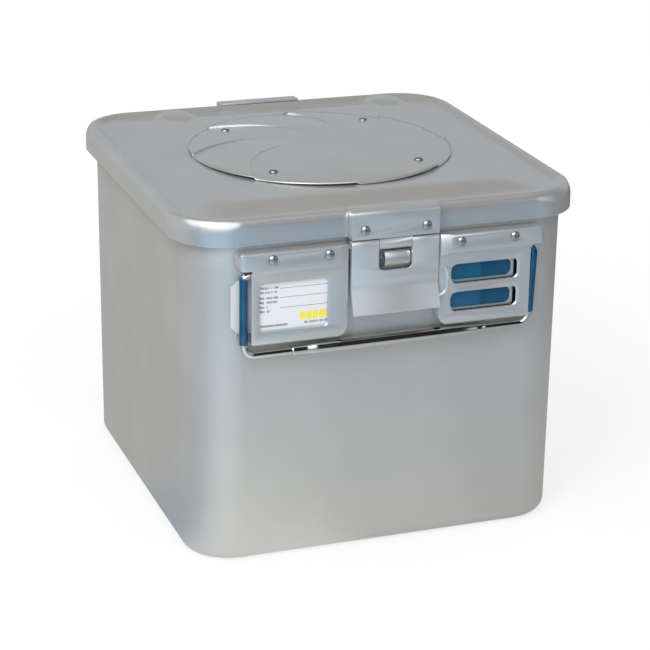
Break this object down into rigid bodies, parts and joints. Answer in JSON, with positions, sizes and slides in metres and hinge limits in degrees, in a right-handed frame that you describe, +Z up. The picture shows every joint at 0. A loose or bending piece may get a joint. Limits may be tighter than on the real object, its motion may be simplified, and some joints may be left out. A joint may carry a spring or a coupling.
{
  "type": "sterilization container",
  "caption": "Anodised aluminium sterilization container with a vented lift-off lid, front and back latches, bail handles and label frames.",
  "frame": {"origin": "centre of the floor face of the tub", "axes": "+Z up, the labelled front faces -Y, +X to the right when facing the front"},
  "size_m": [0.2966, 0.3218, 0.2577],
  "materials": {
    "anodised_aluminium": "matte anodised",
    "bright_aluminium": "satin anodised",
    "stainless_steel": "satin",
    "chrome": "polished",
    "silicone": "matte",
    "blue_plastic": "gloss",
    "filter_paper": "matte fibre sheet",
    "label_card": "matte card"
  },
  "bodies": {
    "container": {"tub": "anodised_aluminium", "front_keeper": "stainless_steel", "front_label_frame": "anodised_aluminium", "front_slotted_frame": "anodised_aluminium", "front_label_card": "label_card", "front_indicator_plate": "blue_plastic", "front_frame_rivet_1": "stainless_steel", "front_frame_rivet_2": "stainless_steel", "front_frame_rivet_3": "stainless_steel", "front_frame_rivet_4": "stainless_steel", "back_keeper": "stainless_steel", "back_label_frame": "anodised_aluminium", "back_slotted_frame": "anodised_aluminium", "back_label_card": "label_card", "back_indicator_plate": "blue_plastic", "back_frame_rivet_1": "stainless_steel", "back_frame_rivet_2": "stainless_steel", "back_frame_rivet_3": "stainless_steel", "back_frame_rivet_4": "stainless_steel"},
    "lid": {"lid_shell": "anodised_aluminium", "lid_seal": "silicone", "steam_cover": "anodised_aluminium", "filter_sheet": "filter_paper", "filter_retainer": "anodised_aluminium", "cover_rivet_1": "stainless_steel", "cover_rivet_2": "stainless_steel", "cover_rivet_3": "stainless_steel", "cover_rivet_4": "stainless_steel", "front_lid_plate": "bright_aluminium", "front_hinge_pin": "stainless_steel", "front_plate_rivet_left": "stainless_steel", "front_plate_rivet_right": "stainless_steel", "back_lid_plate": "bright_aluminium", "back_hinge_pin": "stainless_steel", "back_plate_rivet_left": "stainless_steel", "back_plate_rivet_right": "stainless_steel"},
    "front_latch": {"front_latch_lever": "bright_aluminium"},
    "front_handle": {"front_bail": "chrome", "front_bail_grip": "chrome", "front_bail_sleeve_left": "blue_plastic", "front_bail_sleeve_right": "blue_plastic"},
    "back_latch": {"back_latch_lever": "bright_aluminium"},
    "back_handle": {"back_bail": "chrome", "back_bail_grip": "chrome", "back_bail_sleeve_left": "blue_plastic", "back_bail_sleeve_right": "blue_plastic"}
  },
  "joints": [
    {"name": "lid_lift", "type": "slide", "parent": "container", "child": "lid", "axis": [0, 0, 1], "range_m": [0, 0.09]},
    {"name": "front_latch_hinge", "type": "hinge", "parent": "lid", "child": "front_latch", "pos_m": [0, -0.151, 0.2276], "axis": [-1, 0, 0], "range_deg": [0, 95]},
    {"name": "front_handle_hinge", "type": "hinge", "parent": "container", "child": "front_handle", "pos_m": [0, -0.1483, 0.2135], "axis": [-1, 0, 0], "range_deg": [0, 90]},
    {"name": "back_latch_hinge", "type": "hinge", "parent": "lid", "child": "back_latch", "pos_m": [0, 0.151, 0.2276], "axis": [1, 0, 0], "range_deg": [0, 95]},
    {"name": "back_handle_hinge", "type": "hinge", "parent": "container", "child": "back_handle", "pos_m": [0, 0.1483, 0.2135], "axis": [1, 0, 0], "range_deg": [0, 90]}
  ]
}
